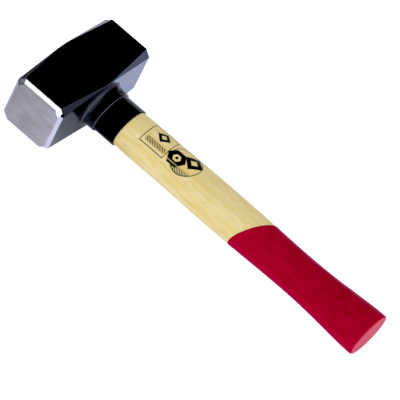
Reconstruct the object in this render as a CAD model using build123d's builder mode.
from build123d import *
import os
from math import atan, cos, radians, sin, sqrt, tan

# A lump hammer near the 1000 g size, lying on one cheek. All lengths are in millimetres.
# X runs along the handle from the head to the butt, Y along the head from one striking face
# to the other, and Z up from the lower cheek. The origin is the centre of the lower cheek.

# Head, a square bar that tapers a little from its middle to both striking faces
HEAD_LENGTH = 100.0         # Y, between the striking faces
HEAD_DEPTH = 40.0           # X, at the striking faces, from the top to the handle side
HEAD_SWELL = 0.85           # X, how far each of those sides rises towards the middle
HEAD_WIDTH = 40.5           # Z, between the flat cheeks
CORNER_AT_ENDS = 4.8        # leg of each long corner chamfer at the striking faces
CORNER_AT_MIDDLE = 0.2      # the same where the chamfer's two slopes would meet
CROWN_HALF = 9.0            # Y, each side of the middle, over which the slopes are rounded
FACE_BEVEL = 2.75           # bevel round each striking face
LONG_ROUND = 0.8            # rounding of the forged edges along the head
FACE_ROUND = 0.4            # rounding where each bevel meets its striking face

# Neck, the forged collar round the eye on the handle side
NECK_HEIGHT = 11.0          # X, beyond the handle side of the head
NECK_WIDTH = 37.4           # Y
NECK_THICKNESS = 27.8       # Z
FLARE_HEIGHT = 7.0          # X, the hollow curve at the foot of the neck
FLARE_WIDTH = 6.3           # Y, how far the foot spreads on each side
FLARE_THICKNESS = 4.0       # Z, the same on the cheek sides
FLARE_ANGLES = (8, 30, 50, 70, 90)   # degrees round the hollow curve
FLARE_SINK = 0.3            # X, how far the foot starts below the head's surface
NECK_ROUND = 1.0            # rounding of the collar's rim

# Eye, an oval hole that narrows from both ends to a waist
EYE_ENTRY = (29.6, 21.4)    # width and thickness where the handle goes in
EYE_WAIST = (26.2, 17.6)
EYE_TOP = (28.6, 19.6)      # flared, so that the wedges lock the handle
EYE_WAIST_X = 3.0

# Handle
BUTT_X = 258.0              # X of the cut end
TONGUE_PROUD = 0.8          # X, how far the handle's end stands out past the swell of the head's top
OVAL_RATIO = 1.35           # width over thickness of the grip
OVAL_END = 0.8              # end radius of an oval over half its thickness
GRIP_WIDTHS = (             # X and full width of the oval there
    (49.0, 32.8),
    (95.0, 33.5),
    (140.0, 34.0),
    (190.0, 31.8),
    (222.0, 33.6),
    (BUTT_X, 37.9),
)
BUTT_ROUND = 0.9

# Wedges in the handle's end
WEDGE_DEPTH = 27.0          # X, below the handle's end
WEDGE_THICK = 4.2           # Z, at the handle's end
WEDGE_THIN = 1.0            # Z, at its tip
RING_DEPTH = 17.0
RING_OUTER_TOP = 15.0       # outer diameter at the handle's end
RING_OUTER_TIP = 13.8
RING_INNER_TOP = 10.4       # bore at the handle's end
RING_INNER_TIP = 13.0

# Protective sleeve, between the neck and the bare wood
SLEEVE_END = 47.1           # X of its open end
SLEEVE_WIDTH = 35.1
SLEEVE_THICKNESS = 25.9
SLEEVE_ROUND = 0.35

# Dipped coat on the grip
COAT_THICKNESS = 0.25
COAT_START = 157.0          # X of the dip line on the handle's axis
COAT_SLANT_Y = 0.465        # rise of the dip line along X for each millimetre of Y
COAT_SLANT_Z = 0.165        # and for each millimetre of Z

# Worked out from the above
HEAD_TOP = -HEAD_DEPTH / 2
HEAD_FOOT = HEAD_DEPTH / 2
AXIS_Z = HEAD_WIDTH / 2
NECK_END = HEAD_FOOT + NECK_HEIGHT
FLARE_TOP = HEAD_FOOT - FLARE_SINK + FLARE_HEIGHT
HANDLE_TOP = HEAD_TOP - HEAD_SWELL - TONGUE_PROUD
CLEARANCE = 5.0             # how far a cutting shape reaches past what it cuts
HEAD_REACH = HEAD_LENGTH / 2 + CLEARANCE

mid_plane = Plane.XY.offset(AXIS_Z)


def across(x):
    """The plane across the handle's axis at x, with its own x along Y and its y along Z."""
    return Plane(origin=(x, 0, AXIS_Z), x_dir=(0, 1, 0), z_dir=(1, 0, 0))


def oval(x, width, thickness):
    """An oval of four tangent arcs across the handle's axis at x."""
    half_width, half_thickness = width / 2, thickness / 2
    end_radius = OVAL_END * half_thickness
    end_centre = half_width - end_radius
    side_radius = (end_centre**2 + half_thickness**2 - end_radius**2) / (
        2 * (half_thickness - end_radius)
    )
    share = end_radius / (side_radius - end_radius)
    joint_y = end_centre * (1 + share)
    joint_z = (side_radius - half_thickness) * share
    with BuildSketch(across(x)) as section:
        with BuildLine():
            ThreePointArc((-joint_y, joint_z), (0, half_thickness), (joint_y, joint_z))
            ThreePointArc((joint_y, joint_z), (half_width, 0), (joint_y, -joint_z))
            ThreePointArc((joint_y, -joint_z), (0, -half_thickness), (-joint_y, -joint_z))
            ThreePointArc((-joint_y, -joint_z), (-half_width, 0), (-joint_y, joint_z))
        make_face()
    return section.sketch


def handle_ovals(grow=0.0):
    """The handle's sections, larger by grow all round and moved by grow towards the butt."""
    grip = [(x, width, width / OVAL_RATIO) for x, width in GRIP_WIDTHS]
    sections = [(NECK_END, *EYE_ENTRY), *grip]
    return [
        oval(x + grow, width + 2 * grow, thickness + 2 * grow)
        for x, width, thickness in sections
    ]


def flare_oval(angle):
    """The section of the neck's hollow foot at an angle round its quarter circle."""
    spread = 1 - sin(angle)
    return oval(
        FLARE_TOP - FLARE_HEIGHT * cos(angle),
        NECK_WIDTH + 2 * FLARE_WIDTH * spread,
        NECK_THICKNESS + 2 * FLARE_THICKNESS * spread,
    )


def crown_radius(rise):
    """Radius that rounds a ridge over CROWN_HALF each side, for a slope that rises by rise."""
    return CROWN_HALF / tan(atan(rise / (HEAD_LENGTH / 2)))


# The four long corners of the head are cut by wedges that are deepest at the striking faces.
with BuildPart() as corner_cutters:
    corner_plane = Plane(
        origin=(HEAD_FOOT, 0, HEAD_WIDTH), x_dir=(0, 1, 0), z_dir=(1, 0, -1)
    )
    end_level = -CORNER_AT_ENDS / sqrt(2)
    middle_level = (HEAD_SWELL - CORNER_AT_MIDDLE) / sqrt(2)
    rise = middle_level - end_level
    reach_level = middle_level - rise * HEAD_REACH / (HEAD_LENGTH / 2)
    with BuildSketch(corner_plane):
        with BuildLine():
            FilletPolyline(
                (-HEAD_REACH, reach_level),
                (0, middle_level),
                (HEAD_REACH, reach_level),
                radius=crown_radius(rise),
            )
            Polyline(
                (HEAD_REACH, reach_level),
                (HEAD_REACH, CLEARANCE),
                (-HEAD_REACH, CLEARANCE),
                (-HEAD_REACH, reach_level),
            )
        make_face()
    extrude(amount=CORNER_AT_ENDS + CLEARANCE, both=True)
    mirror(about=Plane.YZ)
    mirror(about=mid_plane)

# The hole through the head and neck, and the tongue of the handle that fills it.
with BuildPart() as eye:
    waist_share = (EYE_WAIST_X - HEAD_TOP) / (EYE_WAIST_X - HANDLE_TOP)
    proud_width, proud_thickness = (
        waist + (top - waist) / waist_share for waist, top in zip(EYE_WAIST, EYE_TOP)
    )
    loft(
        sections=[
            oval(HANDLE_TOP, proud_width, proud_thickness),
            oval(EYE_WAIST_X, *EYE_WAIST),
            oval(NECK_END, *EYE_ENTRY),
        ],
        ruled=True,
    )

with BuildPart() as hammer_head:
    with BuildSketch():
        with BuildLine():
            FilletPolyline(
                (HEAD_FOOT, -HEAD_LENGTH / 2),
                (HEAD_FOOT + HEAD_SWELL, 0),
                (HEAD_FOOT, HEAD_LENGTH / 2),
                radius=crown_radius(HEAD_SWELL),
            )
            mirror(about=Plane.YZ)
            Line((HEAD_TOP, HEAD_LENGTH / 2), (HEAD_FOOT, HEAD_LENGTH / 2))
            Line((HEAD_TOP, -HEAD_LENGTH / 2), (HEAD_FOOT, -HEAD_LENGTH / 2))
        make_face()
    extrude(amount=HEAD_WIDTH)
    add(corner_cutters.part, mode=Mode.SUBTRACT)
    chamfer(hammer_head.faces().filter_by(Axis.Y).edges(), FACE_BEVEL)
    long_edges = hammer_head.edges().filter_by(
        lambda edge: edge.bounding_box().size.Y > CROWN_HALF
    )
    fillet(long_edges, LONG_ROUND)
    fillet(hammer_head.faces().filter_by(Axis.Y).edges(), FACE_ROUND)
    loft(sections=[flare_oval(radians(angle)) for angle in FLARE_ANGLES])
    extrude(oval(FLARE_TOP, NECK_WIDTH, NECK_THICKNESS), amount=NECK_END - FLARE_TOP)
    fillet(hammer_head.faces().sort_by(Axis.X)[-1].edges(), NECK_ROUND)
    add(eye.part, mode=Mode.SUBTRACT)

# A steel tube with a sharp lower edge, driven in last at the middle of the handle's end.
with BuildPart() as ring_wedge:
    with BuildSketch(mid_plane):
        with BuildLine():
            Polyline(
                (HANDLE_TOP, RING_INNER_TOP / 2),
                (HANDLE_TOP, RING_OUTER_TOP / 2),
                (HANDLE_TOP + RING_DEPTH, RING_OUTER_TIP / 2),
                (HANDLE_TOP + RING_DEPTH, RING_INNER_TIP / 2),
                close=True,
            )
        make_face()
    revolve(axis=Axis((0, 0, AXIS_Z), (1, 0, 0)))

# A thin hardwood wedge in the saw cut, along the longer way of the eye.
with BuildPart() as wood_wedge:
    with BuildSketch(Plane.XZ.offset(-HEAD_DEPTH)):
        with BuildLine():
            Polyline(
                (HANDLE_TOP, AXIS_Z - WEDGE_THICK / 2),
                (HANDLE_TOP, AXIS_Z + WEDGE_THICK / 2),
                (HANDLE_TOP + WEDGE_DEPTH, AXIS_Z + WEDGE_THIN / 2),
                (HANDLE_TOP + WEDGE_DEPTH, AXIS_Z - WEDGE_THIN / 2),
                close=True,
            )
        make_face()
    extrude(amount=2 * HEAD_DEPTH)
    add(eye.part, mode=Mode.INTERSECT)
    add(ring_wedge.part, mode=Mode.SUBTRACT)

with BuildPart() as handle:
    loft(sections=handle_ovals())
    fillet(handle.faces().sort_by(Axis.X)[-1].edges(), BUTT_ROUND)
    add(eye.part)
    add(wood_wedge.part, mode=Mode.SUBTRACT)
    add(ring_wedge.part, mode=Mode.SUBTRACT)

with BuildPart() as protective_sleeve:
    extrude(oval(NECK_END, SLEEVE_WIDTH, SLEEVE_THICKNESS), amount=SLEEVE_END - NECK_END)
    fillet(protective_sleeve.edges().group_by(Axis.X)[-1], SLEEVE_ROUND)
    add(handle.part, mode=Mode.SUBTRACT)

# The coat covers the handle from a slanted dip line to the butt, as one thin cup.
with BuildPart() as grip_coating:
    loft(sections=handle_ovals(COAT_THICKNESS))
    fillet(grip_coating.faces().sort_by(Axis.X)[-1].edges(), BUTT_ROUND)
    dip_line = Plane(
        origin=(COAT_START, 0, AXIS_Z), z_dir=(1, -COAT_SLANT_Y, -COAT_SLANT_Z)
    )
    split(bisect_by=dip_line, keep=Keep.TOP)
    add(handle.part, mode=Mode.SUBTRACT)

pieces = {
    "hammer_head": hammer_head,
    "handle": handle,
    "wood_wedge": wood_wedge,
    "ring_wedge": ring_wedge,
    "protective_sleeve": protective_sleeve,
    "grip_coating": grip_coating,
}
os.makedirs("parts", exist_ok=True)
for name, piece in pieces.items():
    piece.part.label = name
    export_step(piece.part, f"parts/{name}.step")
